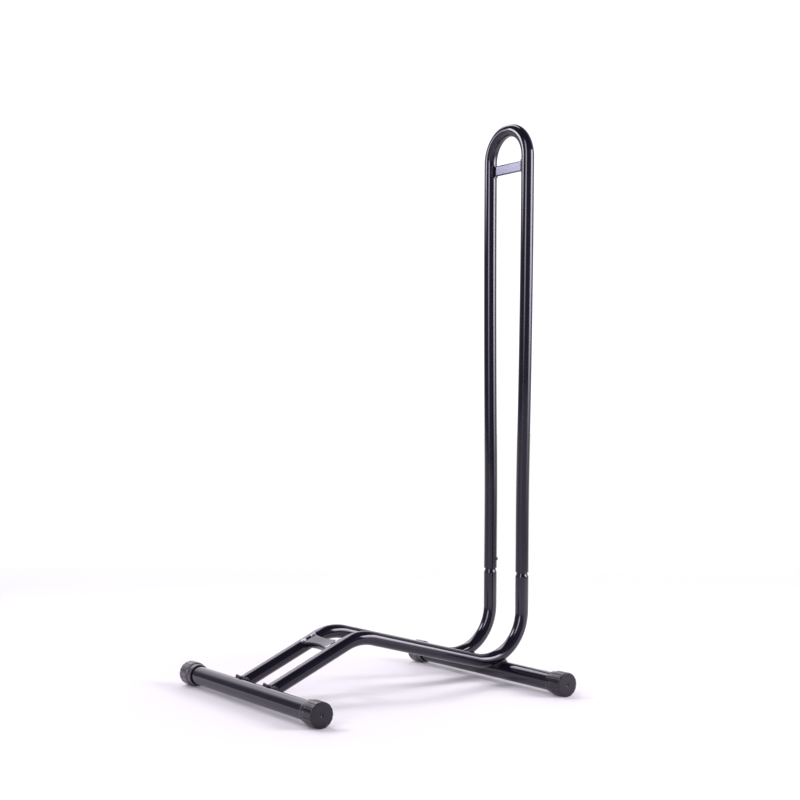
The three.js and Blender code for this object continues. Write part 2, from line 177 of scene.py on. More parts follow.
def fresh_material(name):
    material = bpy.data.materials.new(name)
    material.use_nodes = True
    material.node_tree.nodes.clear()
    return material, Nodes(material.node_tree)


def enamel(name, rough_low, rough_high, peel):
    """Stoved black enamel: deep colour with a faint cloudiness, orange peel and small sags."""
    material, nodes = fresh_material(name)
    cloud = nodes.noise(38.0, 4.0, 0.6)
    sag = nodes.bump(nodes.noise(70.0, 1.0), 0.000005)
    nodes.surface(nodes.principled({
        "Base Color": nodes.ramp(cloud, (0.3, (0.0030, 0.0026, 0.0068)), (0.75, (0.0052, 0.0045, 0.0115))),
        "Roughness": nodes.uneven(rough_low, rough_high, 55.0, 5.0, 0.62),
        "IOR": 1.54,
        "Specular Tint": (0.93, 0.88, 1.0, 1.0),
        "Normal": nodes.bump(nodes.noise(620.0, 2.0), peel, below=sag),
    }))
    return material


def moulded_plastic():
    """Moulded dark plastic with a fine spark-eroded grain, and painted light: lighter colour to the stand's
    left and its back, where the left soft box falls.
    """
    material, nodes = fresh_material("cap_plastic_look")
    cloud = nodes.noise(90.0, 5.0, 0.65)
    # painted light: the caps to the stand's left and back get a lighter colour, standing in for the left soft
    # box's light on them
    to_the_left = nodes.ranged(nodes.dot(nodes.place(), (1.0, -0.25, 0.0)), -0.1, 0.14, 1.0, 0.0)
    base_tone = nodes.ramp(cloud, (0.3, (0.0036, 0.0033, 0.0045)), (0.7, (0.0062, 0.0057, 0.0075)))
    lamp_lit_tone = nodes.ramp(cloud, (0.3, (0.038, 0.036, 0.042)), (0.7, (0.074, 0.071, 0.080)))
    # a colour mix has its two colours at inputs 6 and 7, and the result at output 2
    lamp_light_mix = nodes.add("ShaderNodeMix", {"Factor": to_the_left, 6: base_tone, 7: lamp_lit_tone}, data_type="RGBA")
    soft = nodes.bump(nodes.noise(130.0, 2.0), 0.00002)
    nodes.surface(nodes.principled({
        "Base Color": lamp_light_mix.outputs[2],
        "Roughness": nodes.uneven(0.17, 0.26, 240.0, 4.0),
        "Specular IOR Level": 0.5,
        "Specular Tint": (0.94, 0.89, 1.0, 1.0),
        "Normal": nodes.bump(nodes.noise(2600.0, 2.0), 0.000003, below=soft),
    }))
    return material


def weld_glint_patches():
    """Painted glints on the crowns of the weld beads: patches of bright metal colour among the black paint,
    which stand in for the lamps' glints on the glossy paint.
    """
    material, nodes = fresh_material("weld_glint_look")
    cloud = nodes.noise(420.0, 3.0, 0.6)
    nodes.surface(nodes.principled({
        # painted glints: the bright lilac metal colour in the patches stands in for lamp glints on the bead
        # crowns
        "Base Color": nodes.ramp(cloud, (0.38, (0.012, 0.011, 0.015)), (0.52, (0.62, 0.60, 0.70))),
        "Metallic": nodes.ranged(cloud, 0.38, 0.52, 0.5, 0.95),
        "Roughness": nodes.uneven(0.3, 0.45, 900.0, 3.0),
        "Normal": nodes.bump(nodes.noise(1500.0, 2.0), 0.00002),
    }))
    return material


def dark_zinc():
    """Blackened zinc plating with an uneven tone."""
    material, nodes = fresh_material("dark_screw_look")
    cloud = nodes.noise(420.0, 4.0, 0.6)
    nodes.surface(nodes.principled({
        "Base Color": nodes.ramp(cloud, (0.3, (0.028, 0.027, 0.031)), (0.7, (0.075, 0.072, 0.080))),
        "Metallic": 0.85,
        "Roughness": nodes.uneven(0.24, 0.42, 900.0, 4.0),
        "Normal": nodes.bump(nodes.noise(3000.0, 2.0), 0.00001),
    }))
    return material


def satin_label():
    """A bare satin silver label: fine brush lines along the plate and a soft cloudy tone."""
    material, nodes = fresh_material("label_look")
    brush = nodes.noise(60.0, 1.5, 0.5, stretch=(1.0, 1.0, 8.0))
    nodes.surface(nodes.principled({
        "Base Color": nodes.ramp(brush, (0.25, (0.128, 0.128, 0.172)), (0.8, (0.148, 0.148, 0.196))),
        "Metallic": 0.9,
        "Roughness": nodes.uneven(0.26, 0.34, 140.0, 3.0),
        "Normal": nodes.bump(brush, 0.0000015),
    }))
    return material


# A finish is a material and the slot that it goes by
PAINT = (enamel("black_paint_look", 0.07, 0.12, peel=0.0000008), "black_paint")
WELD_PAINT = (enamel("black_weld_look", 0.22, 0.36, peel=0.000010), "black_paint")
PLASTIC = (moulded_plastic(), "cap_plastic")
GLINT_WELD = (weld_glint_patches(), "black_paint")
ZINC = (dark_zinc(), "dark_screw")
LABEL = (satin_label(), "dark_screw")

WELD_SHARP = 60.0


# ---------------------------------------------------------------- mesh helpers
def add_piece(name, shape, finish, body="base", nodes=(), sharp=38.0):
    """Makes a piece from vertices and faces. It rides on a body and stands for CAD nodes, if any."""
    vertices, faces = shape
    material, slot = finish
    mesh = bpy.data.meshes.new(name)
    mesh.from_pydata(
        [tuple(float(c) * MM for c in vertex) for vertex in vertices], [],
        [tuple(int(i) for i in face) for face in faces])
    work = bmesh.new()
    work.from_mesh(mesh)
    bmesh.ops.remove_doubles(work, verts=work.verts, dist=0.000001)
    bmesh.ops.dissolve_degenerate(work, edges=work.edges, dist=0.0000005)
    bmesh.ops.recalc_face_normals(work, faces=work.faces)
    work.to_mesh(mesh)
    work.free()
    mesh.polygons.foreach_set("use_smooth", [True] * len(mesh.polygons))
    mesh.set_sharp_from_angle(angle=radians(sharp))
    mesh.materials.append(material)
    piece = bpy.data.objects.new(name, mesh)
    bpy.context.scene.collection.objects.link(piece)
    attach(piece, body)
    if nodes:
        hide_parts(*nodes)


def circle(sides):
    return np.arange(sides) * 2 * math.pi / sides


def grid_faces(rows, columns, wrap_rows=False):
    """Faces between rings of points. Each ring is closed, and wrap_rows joins the last ring to the first."""
    faces = []
    for row in range(rows if wrap_rows else rows - 1):
        below = (row + 1) % rows
        for column in range(columns):
            right = (column + 1) % columns
            faces.append((
                row * columns + column, row * columns + right,
                below * columns + right, below * columns + column))
    return faces


def join_shapes(shapes):
    vertices, faces, start = [], [], 0
    for points, polygons in shapes:
        vertices.extend(points)
        faces.extend(tuple(i + start for i in polygon) for polygon in polygons)
        start += len(points)
    return vertices, faces


class Route:
    """A tube's route in an upright plane: straights and bends in turn. Each station on it is a level
    distance, a height, a heading, an outer radius and an inner radius."""

    def __init__(self, level, height, heading):
        self.level, self.height, self.heading = level, height, heading
        self.stations = []
        self.mark()

    def mark(self, outer=TUBE_R, bore=BORE_R):
        self.stations.append((self.level, self.height, self.heading, outer, bore))

    def advance(self, length):
        self.level += length * math.cos(radians(self.heading))
        self.height += length * math.sin(radians(self.heading))

    def straight(self, length, outer=TUBE_R, bore=BORE_R, steps=1):
        for _ in range(steps):
            self.advance(length / steps)
            self.mark(outer, bore)

    def bend(self, radius, angle, steps):
        chord = 2 * radius * math.sin(radians(abs(angle) / steps) / 2)
        for _ in range(steps):
            self.heading += angle / steps / 2
            self.advance(chord)
            self.heading += angle / steps / 2
            self.mark()


TUBE_SIDES = 64
# Rounded rims of a cut tube: how far a ring lies in from the tube's side, and how far behind its end
OUTER_RIM = ((0.5, 0.0), (0.22, 0.08), (0.06, 0.25), (0.0, 0.5), (0.0, 1.1))
BORE_RIM = ((-0.15, 0.0), (0.0, 0.2))


def sweep(stations, origin, level_axis, shape_start=None):
    """Skins a hollow tube along a route's stations, outside first and then back along the bore."""
    origin, level_axis, up_axis = (np.array(v, float) for v in (origin, level_axis, (0, 0, 1)))
    normal = np.cross(level_axis, up_axis)
    angles = circle(TUBE_SIDES)
    rings = []

    def ring(station, radius, shift=0.0, start=False):
        level, height, heading, _, _ = station
        along = level_axis * math.cos(radians(heading)) + up_axis * math.sin(radians(heading))
        side = np.cross(normal, along)
        centre = origin + level_axis * level + up_axis * height
        offset = radius * np.cos(angles)
        shifts = np.full(TUBE_SIDES, shift)
        if start and shape_start is not None:
            shifts = shifts + shape_start(offset)
        points = centre + np.outer(offset, side) + np.outer(radius * np.sin(angles), normal)
        rings.append(points + np.outer(shifts, along))

    first, last = stations[0], stations[-1]
    for inset, depth in OUTER_RIM:
        ring(first, first[3] - inset, depth, start=True)
    for station in stations[1:-1]:
        ring(station, station[3])
    for inset, depth in reversed(OUTER_RIM):
        ring(last, last[3] - inset, -depth)
    for inset, depth in BORE_RIM:
        ring(last, last[4] - inset, -depth)
    for station in stations[-2:0:-1]:
        ring(station, station[4])
    for inset, depth in reversed(BORE_RIM):
        ring(first, first[4] - inset, depth, start=True)
    return np.concatenate(rings), grid_faces(len(rings), TUBE_SIDES, wrap_rows=True)


def bead(path, radius, seed, closed=False, sides=12, ripple=0.14, pitch=1.7):
    """A weld bead along a path: overlapping scales of uneven width, with round ends if it isn't closed."""
    rng = random.Random(seed)
    path = np.array(path, float)
    if closed:
        path = np.vstack([path, path[:1]])
    lengths = np.concatenate([[0], np.cumsum(np.linalg.norm(np.diff(path, axis=0), axis=1))])
    total = lengths[-1]
    rings_per_scale, fewest_scales, unevenness, ripple_shape = 6, 4, 0.12, 0.6
    scales = max(fewest_scales, round(total / pitch))
    count = scales * rings_per_scale
    step = total / count
    wobble = [1 + rng.uniform(-unevenness, unevenness) for _ in range(scales + 1)]
    if closed:
        wobble[-1] = wobble[0]
    angles = circle(sides)

    def at(where):
        return np.array([np.interp(where, lengths, path[:, axis]) for axis in range(3)])

    rings = []
    for index in range(count if closed else count + 1):
        where = total * index / count
        behind = total - step if closed and index == 0 else max(where - step, 0)
        along = at(min(where + step, total)) - at(behind)
        along /= np.linalg.norm(along)
        helper = np.array([0.0, 0.0, 1.0]) if abs(along[2]) < 0.8 else np.array([1.0, 0.0, 0.0])
        side = np.cross(along, helper)
        side /= np.linalg.norm(side)
        up = np.cross(side, along)
        scale, ring_in_scale = divmod(index, rings_per_scale)
        share = ring_in_scale / rings_per_scale
        size = radius * (wobble[scale] * (1 - share) + wobble[min(scale + 1, scales)] * share)
        size *= 1 + ripple * (math.sin(math.pi * share) ** ripple_shape - ripple_shape)
        if not closed:
            from_end = min(index, count - index) / rings_per_scale
            size *= 0.02 + 0.98 * math.sqrt(max(0.0, 1 - (1 - min(from_end, 1.0)) ** 2))
        rings.append(at(where) + size * (np.outer(np.cos(angles), side) + np.outer(np.sin(angles), up)))
    faces = grid_faces(len(rings), sides, wrap_rows=closed)
    if not closed:
        faces.append(tuple(range(sides)))
        faces.append(tuple((len(rings) - 1) * sides + k for k in reversed(range(sides))))
    return np.concatenate(rings), faces


def rounded_plate(half_length, half_width, corner, thickness, fillet, bend, side_steps, rings_in=9):
    """A plate with round corners and rolled edges, laid out flat and put in place by bend(u, v, height)."""
    corner_steps, fillet_steps = 8, 4
    sliver = 0.0001  # half the width of the innermost outline

    def outline(inset):
        a, b = half_length - inset, half_width - inset
        r = min(max(corner - inset, 0.001), a, b)
        arcs = []
        for quarter, (sx, sy) in enumerate(((1, -1), (1, 1), (-1, 1), (-1, -1))):
            turns = [radians(90 * (quarter - 1 + step / corner_steps)) for step in range(corner_steps + 1)]
            arcs.append([(sx * (a - r) + r * math.cos(t), sy * (b - r) + r * math.sin(t)) for t in turns])
        points = []
        for arc, following in zip(arcs, arcs[1:] + arcs[:1]):
            points += arc
            (u, v), (next_u, next_v) = arc[-1], following[0]
            for step in range(1, side_steps):
                share = step / side_steps
                points.append((u + (next_u - u) * share, v + (next_v - v) * share))
        return points

    # insets and heights of the outlines, from the middle of the underside to the edge, and then the top
    small = min(half_length, half_width)
    insets = [small * (1 - k / rings_in) for k in range(rings_in)]
    under = [(inset, 0.0) for inset in insets if inset > fillet * 1.2]
    for step in range(fillet_steps + 1):
        angle = radians(90 * step / fillet_steps)
        under.append((fillet * (1 - math.sin(angle)), fillet * (1 - math.cos(angle))))
    profile = under + [(inset, thickness - height) for inset, height in reversed(under)]
    rings = []
    for inset, height in profile:
        rings.append([bend(u, v, height) for u, v in outline(min(inset, small - sliver))])
    columns = len(rings[0])
    faces = grid_faces(len(rings), columns)
    # the first and the last ring are slivers, so the two sides of each are sewn together
    for ring in (0, len(rings) - 1):
        faces.append(tuple(ring * columns + k for k in range(columns)))
    return [point for ring in rings for point in ring], faces


# ---------------------------------------------------------------- lower tubes
# The seat bend's centre is a bend radius before the uprights, so high that the tube clears the rear bar
seat_distance = BAR_R + GAP + TUBE_R + BEND_R  # between that centre and the rear bar's axis
seat_y = UPRIGHT_Y - BEND_R
seat_z = AXLE_Z + seat_distance * math.cos(radians(SEAT_ANGLE))
seat_start_y = seat_y - BEND_R * math.sin(radians(REAR_SLOPE))
seat_start_z = seat_z - BEND_R * math.cos(radians(REAR_SLOPE))
front_z = AXLE_Z + TUBE_LIFT

# The peak is where the two slopes would cross, and its bend takes a tangent's length from both
run_to_seat = seat_start_y - FRONT_Y
slopes = math.tan(radians(FRONT_SLOPE)) + math.tan(radians(REAR_SLOPE))
peak_run = (seat_start_z - front_z + run_to_seat * math.tan(radians(REAR_SLOPE))) / slopes
peak_z = front_z + peak_run * math.tan(radians(FRONT_SLOPE))
peak_angle = FRONT_SLOPE + REAR_SLOPE
peak_tangent = BEND_R * math.tan(radians(peak_angle) / 2)
front_run = math.hypot(peak_run, peak_z - front_z) - peak_tangent
rear_run = math.hypot(run_to_seat - peak_run, peak_z - seat_start_z) - peak_tangent


def cope(offset, reach=SADDLE_OUT + 0.1):
    """How far along the front slope a line of the tube meets a round face that lies reach from the bar's
    axis. The offset is that line's place across the slope."""
    slope = radians(FRONT_SLOPE)
    across = TUBE_LIFT * math.cos(slope) + offset
    return np.sqrt(reach**2 - across**2) - TUBE_LIFT * math.sin(slope)


def lower_tube(name, x):
    clear_of_cope = 26.0
    round_steps = 12
    route = Route(FRONT_Y, front_z, FRONT_SLOPE)
    route.straight(clear_of_cope)
    route.straight(front_run - clear_of_cope, steps=6)
    route.bend(BEND_R, -peak_angle, 24)
    route.straight(rear_run, steps=6)
    route.bend(BEND_R, 90 + REAR_SLOPE, 56)
    route.straight(JOINT_Z - GAP - SHOULDER - SHOULDER_EDGE - seat_z, steps=3)
    route.straight(SHOULDER_EDGE)
    for step in range(1, round_steps + 1):
        share = 0.5 * (1 + math.cos(math.pi * step / round_steps))
        radius = SPIGOT_R + (TUBE_R - SPIGOT_R) * share
        route.straight(SHOULDER_ROUND / round_steps, radius, radius - SPIGOT_R + SPIGOT_BORE_R)
    route.straight(SHOULDER - SHOULDER_ROUND, SPIGOT_R, SPIGOT_BORE_R)
    route.straight(SPIGOT_LENGTH, SPIGOT_R, SPIGOT_BORE_R, steps=3)
    add_piece(name + "_painted", sweep(route.stations, (x, 0, 0), (0, 1, 0), cope), PAINT, nodes=[name])


def front_weld(name, x):
    """The bead around the coped end of a lower tube, on its saddle plate."""
    slope = radians(FRONT_SLOPE)
    proud = 0.25
    ring_r = TUBE_R + proud
    path = []
    for angle in circle(120):
        offset = ring_r * math.cos(angle)
        along = float(cope(offset, SADDLE_OUT + proud))
        path.append((
            x + ring_r * math.sin(angle),
            FRONT_Y + along * math.cos(slope) - offset * math.sin(slope),
            front_z + along * math.sin(slope) + offset * math.cos(slope)))
    shape = bead(path, radius=1.55, seed=11 if x < 0 else 12, closed=True)
    add_piece(name, shape, WELD_PAINT, sharp=WELD_SHARP)


def rear_weld(name, x):
    """The bead around the place where a seat bend lies on the rear collar."""
    proud = 0.55
    tube_r, collar_r = TUBE_R + proud, SADDLE_OUT + proud
    half = math.sqrt(tube_r**2 - (seat_distance - collar_r - BEND_R) ** 2)
    path = []
    for angle in circle(96):
        across = half * math.sin(angle)
        outer = BEND_R + math.sqrt(max(tube_r**2 - across**2, 0.0))
        cosine = (seat_distance**2 + collar_r**2 - outer**2) / (2 * seat_distance * collar_r)
        turn = math.acos(min(1.0, cosine)) * (1 if math.cos(angle) >= 0 else -1)
        facing = radians(90 + SEAT_ANGLE) + turn
        path.append((
            x + across, REAR_Y + collar_r * math.cos(facing), AXLE_Z + collar_r * math.sin(facing)))
    shape = bead(path, radius=1.7, seed=21 if x < 0 else 22, closed=True)
    add_piece(name, shape, WELD_PAINT, sharp=WELD_SHARP)


# ---------------------------------------------------------------- hoop
def hoop():
    rise = TOP_Z - JOINT_Z - SPIGOT_LENGTH
    lean = math.degrees(2 * math.atan(SPREAD / 2 / rise))
    lead_radius = LEAD / math.sin(radians(lean))
    leg_radius = (rise - LEAD) / math.sin(radians(lean))
    route = Route(-HALF_SPACING, JOINT_Z, 90)
    route.straight(SPIGOT_LENGTH, steps=3)
    route.bend(lead_radius, lean, 8)
    route.bend(leg_radius, -lean, 24)
    route.bend(TOP_R, -180, 72)
    route.bend(leg_radius, -lean, 24)
    route.bend(lead_radius, lean, 8)
    route.straight(SPIGOT_LENGTH, steps=3)
    shape = sweep(route.stations, (0, UPRIGHT_Y, 0), (1, 0, 0))
    add_piece("upper_hoop_painted", shape, PAINT, "hoop", ["upper_hoop"])


# ---------------------------------------------------------------- crossbars and caps
CAP_END_WALL = 3.2
CAP_SOCKET_R = BAR_R + GAP
CAP_COLLAR_R = 14.8
CAP_R = 16.7
CAP_START = BAR_HALF - 29.9
CAP_FLARE_START = CAP_START + 7.8
CAP_HEAD_START = CAP_START + 10.4
CAP_RIM = 1.4
CAP_FACE_R = CAP_R - CAP_RIM
CAP_DOME = 0.35
CAP_RIBS = 16
RIB_HALF = 8.1
# One rib and the groove after it: the angle from the rib's middle, and how deep the surface lies there
RIB_AND_GROOVE = (
    (-8.1, 0.16), (-7.75, 0.05), (-7.2, 0), (-5.0, 0), (-2.5, 0), (0.0, 0), (2.5, 0), (5.0, 0), (7.2, 0),
    (7.75, 0.05), (8.1, 0.16), (8.55, 0.36), (9.2, 0.58), (10.1, 0.7), (11.25, 0.7), (12.4, 0.7),
    (13.3, 0.58), (13.95, 0.36))
# The dimple in the middle of the end face: the radius where it starts, and then its depths and radii
CAP_DIMPLE_R = 2.9
CAP_DIMPLE = ((0.06, 2.6), (0.25, 2.3), (0.7, 1.9), (1.05, 1.2), (1.2, 0.0))


def crossbar(name, y):
    half = BAR_HALF - CAP_END_WALL - GAP
    rim, bore_rim = 0.5, 0.2
    profile = [(-half, BAR_R - rim), (-half + 0.1, BAR_R - 0.2)]
    profile += [(x, BAR_R) for x in np.linspace(-half + rim, half - rim, 25)]
    profile += [(half - 0.1, BAR_R - 0.2), (half, BAR_R - rim)]
    profile += [(half, BAR_BORE_R + bore_rim), (half - bore_rim, BAR_BORE_R)]
    profile += [(-half + bore_rim, BAR_BORE_R), (-half, BAR_BORE_R + bore_rim)]
    angles = circle(96)
    rings = [
        np.stack([np.full(len(angles), x), y + r * np.cos(angles), AXLE_Z + r * np.sin(angles)], axis=1)
        for x, r in profile]
    shape = np.concatenate(rings), grid_faces(len(rings), len(angles), wrap_rows=True)
    add_piece(name + "_painted", shape, PAINT, nodes=[name])


def cap_profile():
    """A cap's section from the bottom of its socket around to the dimple: the place along the bar, the
    radius, and how much of the ribs shows."""
    socket_end, flare_r = BAR_HALF - CAP_END_WALL, CAP_COLLAR_R + 0.05
    profile = [(socket_end, 0.0, 0.0), (socket_end, CAP_SOCKET_R, 0.0), (CAP_START + 0.5, CAP_SOCKET_R, 0.0)]
    profile += [(CAP_START + 0.15, CAP_SOCKET_R + 0.15, 0.0), (CAP_START, CAP_SOCKET_R + 0.45, 0.0)]
    profile += [(CAP_START, CAP_COLLAR_R - 0.45, 0.0), (CAP_START + 0.13, CAP_COLLAR_R - 0.13, 0.0)]
    profile += [(CAP_START + along, CAP_COLLAR_R, 0.0) for along in (0.45, 4.0, 7.3)]
    flare_steps, rim_steps, face_steps = 8, 8, 8
    for step in range(flare_steps):
        share = step / flare_steps
        ease = share * share * (3 - 2 * share)
        along = CAP_FLARE_START + share * (CAP_HEAD_START - CAP_FLARE_START)
        profile.append((along, flare_r + (CAP_R - flare_r) * ease, ease))
    profile += [(CAP_HEAD_START + 0.1, CAP_R, 1.0)]
    profile += [(x, CAP_R, 1.0) for x in np.linspace(CAP_HEAD_START + 0.8, BAR_HALF - 2.0, 6)]
    # the ribs run out on the rolled rim
    for step in range(1, rim_steps + 1):
        angle = radians(90 * step / rim_steps)
        along = BAR_HALF - CAP_DOME + CAP_RIM * (math.sin(angle) - 1)
        radius = CAP_FACE_R + CAP_RIM * math.cos(angle)
        profile.append((along, radius, math.sqrt(max(math.cos(angle), 0.0))))
    for step in range(1, face_steps + 1):
        radius = CAP_FACE_R - step / face_steps * (CAP_FACE_R - CAP_DIMPLE_R)
        profile.append((BAR_HALF - CAP_DOME * (radius / CAP_FACE_R) ** 2, radius, 0.0))
    return profile + [(BAR_HALF - depth, radius, 0.0) for depth, radius in CAP_DIMPLE]


def end_cap(name, side, y):
    """A moulded cap: smooth collar, flare, flat ribs, a rolled rim, a domed end, a dimple and a flat foot."""
    angles, flats, grooves = [], [], []
    for rib in range(CAP_RIBS):
        for offset, depth in RIB_AND_GROOVE:
            angles.append(radians(-90 + rib * 360 / CAP_RIBS + offset))
            on_rib = abs(offset) <= RIB_HALF
            flats.append(math.cos(radians(RIB_HALF)) / math.cos(radians(offset)) if on_rib else 1.0)
            grooves.append(depth)
    angles, flats, grooves = np.array(angles), np.array(flats), np.array(grooves)
    rings = []
    for along, radius, ribbed in cap_profile():
        reach = radius * (1 + (flats - 1) * ribbed) - grooves * ribbed
        height = np.maximum(reach * np.sin(angles), -AXLE_Z)
        rings.append(np.stack([
            np.full(len(angles), side * along), y + side * reach * np.cos(angles), AXLE_Z + height], axis=1))
    shape = np.concatenate(rings), grid_faces(len(rings), len(angles))
    add_piece(name + "_moulded", shape, PLASTIC, nodes=[name], sharp=50)


# ---------------------------------------------------------------- saddle plates and screws
SADDLE_SHEET = SADDLE_OUT - SADDLE_IN
SADDLE_FILLET = 0.55
FRONT_SADDLE_FACING = 29.0


def on_bar(x_centre, bar_y, facing):
    """Rolls a flat layout around a crossbar: u along the bar, v around it, height out from it."""

    def bend(u, v, height):
        angle = radians(facing) + v / SADDLE_OUT
        reach = SADDLE_IN + height
        return (x_centre + u, bar_y + reach * math.cos(angle), AXLE_Z + reach * math.sin(angle))

    return bend


def front_saddle(name, x):
    shape = rounded_plate(
        half_length=17.1, half_width=11.6, corner=5.5, thickness=SADDLE_SHEET, fillet=SADDLE_FILLET,
        bend=on_bar(x, FRONT_Y, FRONT_SADDLE_FACING), side_steps=20)
    add_piece(name + "_painted", shape, PAINT, nodes=[name])


def rear_saddle(name, x):
    shape = rounded_plate(
        half_length=8.5, half_width=10.4, corner=4.5, thickness=SADDLE_SHEET, fillet=SADDLE_FILLET,
        bend=on_bar(x, REAR_Y, 90 + SEAT_ANGLE), side_steps=16)
    add_piece(name + "_painted", shape, PAINT, nodes=[name])


def pan_head(head_radius, head_height, shank_radius, shank_length, place):
    """A pan-head screw with a cross recess, put in place by place(u, v, height)."""
    angles = circle(48)
    sunk = 0.5  # how far the head's underside lies below its seat, for the round of the part under it
    rim_height = 0.45 * head_height
    crown_r = 0.62 * head_radius
    arm_half, arm_reach, recess_depth = 0.13 * head_radius, 0.56 * head_radius, 0.42 * head_height
    wall_slope, end_slope = 0.06 * head_radius, 0.12 * head_radius
    profile = [(-shank_length, 0.0), (-shank_length, shank_radius - 0.3), (-shank_length + 0.3, shank_radius)]
    profile += [(-sunk, shank_radius), (-sunk, head_radius - 0.15), (0.15 - sunk, head_radius)]
    profile += [(rim_height, head_radius)]
    for step in range(1, 9):
        angle = radians(90 * step / 8)
        profile.append((
            rim_height + 0.5 * head_height * math.sin(angle),
            crown_r + (head_radius - crown_r) * math.cos(angle)))
    for share in (0.88, 0.76, 0.64, 0.52, 0.4, 0.28, 0.16, 0.06, 0.0):
        profile.append((head_height * (1.0 - 0.05 * share**2), crown_r * share))
    rings = []
    for height, radius in profile:
        heights = np.full(len(angles), height)
        if height > head_height * 0.94:
            from_arm = np.minimum(np.abs(radius * np.sin(angles)), np.abs(radius * np.cos(angles)))
            across = np.clip((arm_half - from_arm) / wall_slope, 0, 1)
            inward = np.clip((arm_reach - radius) / end_slope, 0, 1)
            heights = heights - across * inward * recess_depth
        rings.append([place(radius * math.cos(a), radius * math.sin(a), h) for a, h in zip(angles, heights)])
    return [point for ring in rings for point in ring], grid_faces(len(rings), len(angles))


SCREW_LIFT = 0.05
SADDLE_SCREW_FACING = 60.0
SADDLE_SCREW_OFFSET = 13.9
LOCK_BEARING = 60.0
LOCK_HEIGHT = 14.0


def saddle_screw(name, x):
    facing = radians(SADDLE_SCREW_FACING)

    def place(u, v, height):
        reach = SADDLE_OUT + height + SCREW_LIFT
        y = reach * math.cos(facing) - v * math.sin(facing)
        z = reach * math.sin(facing) + v * math.cos(facing)
        return (x + u, FRONT_Y + y, AXLE_Z + z)

    shape = pan_head(head_radius=2.6, head_height=2.2, shank_radius=1.7, shank_length=9.0, place=place)
    add_piece(name + "_plated", shape, ZINC, nodes=[name])


def locking_screw(name, side):
    bearing = radians(LOCK_BEARING)
    out = np.array([-side * math.sin(bearing), math.cos(bearing), 0.0])
    across = np.array([math.cos(bearing), side * math.sin(bearing), 0.0])
    origin = np.array([side * HALF_SPACING, UPRIGHT_Y, JOINT_Z + LOCK_HEIGHT])

    def place(u, v, height):
        return tuple(origin + out * (TUBE_R + height + SCREW_LIFT) + across * u + np.array([0.0, 0.0, v]))

    shape = pan_head(head_radius=2.3, head_height=1.8, shank_radius=1.5, shank_length=1.1, place=place)
    add_piece(name + "_plated", shape, ZINC, frame["nodes"][name]["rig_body"], [name])


# ---------------------------------------------------------------- tyre rest
REST_BEFORE_PEAK = 14.5
REST_HALF = 15.5
REST_WAIST = 8.75
REST_TOP = 8.0
REST_CROWN = 1.0
REST_SHEET = 2.0
REST_BEND_R = 2.6
# The lip's edge on its outer side: how far in from the plate's side, and the height
REST_LIP = ((0.35, 0.0), (0.1, 0.1), (0.0, 0.35), (0.0, 2.2))
# The slots at both ends: the lines across them, and the share of the way out at which they start
SLOT_LINES = (-5.0, -2.5, 0.0, 2.5, 5.0)
SLOT_START = 26.9 / 30.4


def rest_reach(z):
    """How far out the rest goes at a height, up to the round of the tubes."""
    return HALF_SPACING - math.sqrt((TUBE_R + 0.1) ** 2 - z * z)


def rest_side(lip, bend_r):
    """A section of one side from the lip up to the top, as distances in from the side and heights."""
    bend = [radians(90 * k / 6) for k in range(7)]
    return list(lip) + [
        (REST_BEND_R - bend_r * math.cos(a), REST_TOP - REST_BEND_R + bend_r * math.sin(a)) for a in bend]


def rest_row(share, side, top):
    """Points from lip to lip at a share of the way out. The crown lowers them towards the ends."""

    def settle(height):
        lowered = height - REST_CROWN * height / REST_TOP * (share * rest_reach(height) / HALF_SPACING) ** 2
        return share * rest_reach(lowered), lowered

    def edge(direction):
        points = []
        for inset, height in side:
            x, z = settle(height)
            width = REST_WAIST + (REST_HALF - REST_WAIST) * (x / HALF_SPACING) ** 2
            points.append((x, direction * (width - inset), z))
        return points

    x, z = settle(top)
    return edge(-1) + [(x, y, z) for y in SLOT_LINES] + edge(1)[::-1]


def rest_shape(put):
    """An hourglass channel: slotted top, rolled bends and turned-down lips, coped to the tubes."""
    outer = rest_side(REST_LIP, REST_BEND_R)
    inner = rest_side([(REST_SHEET - inset, z) for inset, z in REST_LIP], REST_BEND_R - REST_SHEET)
    ends = (SLOT_START + 0.04, SLOT_START + 0.08, 1.0)
    half = [round(float(v), 5) for v in (*np.linspace(0, SLOT_START, 21), *ends)]
    stations = [-share for share in reversed(half[1:])] + half
    rows = [rest_row(share, outer, REST_TOP) for share in stations]
    rows += [rest_row(share, inner, REST_TOP - REST_SHEET) for share in stations]
    columns = len(rows[0])
    under = len(stations) * columns
    slot = range(len(outer), len(outer) + len(SLOT_LINES) - 1)
    tolerance = 0.0001
    faces = []

    def wall(a, b):
        faces.append((a, b, under + b, under + a))

    for row in range(len(stations) - 1):
        slotted = min(abs(stations[row]), abs(stations[row + 1])) >= SLOT_START - tolerance
        for column in range(columns - 1):
            if slotted and column in slot:
                continue
            a = row * columns + column
            b = a + 1
            faces.append((a, b, b + columns, a + columns))
            faces.append((under + a, under + a + columns, under + b + columns, under + b))
        for column in (0, columns - 1) + ((slot.start, slot.stop) if slotted else ()):
            wall(row * columns + column, (row + 1) * columns + column)
    for row, share in enumerate(stations):
        at_end = abs(share) == 1.0
        at_slot_start = abs(abs(share) - SLOT_START) < tolerance
        for column in range(columns - 1):
            open_edge = at_slot_start if column in slot else at_end
            if open_edge:
                wall(row * columns + column, row * columns + column + 1)
    return [put(*point) for row in rows for point in row], faces


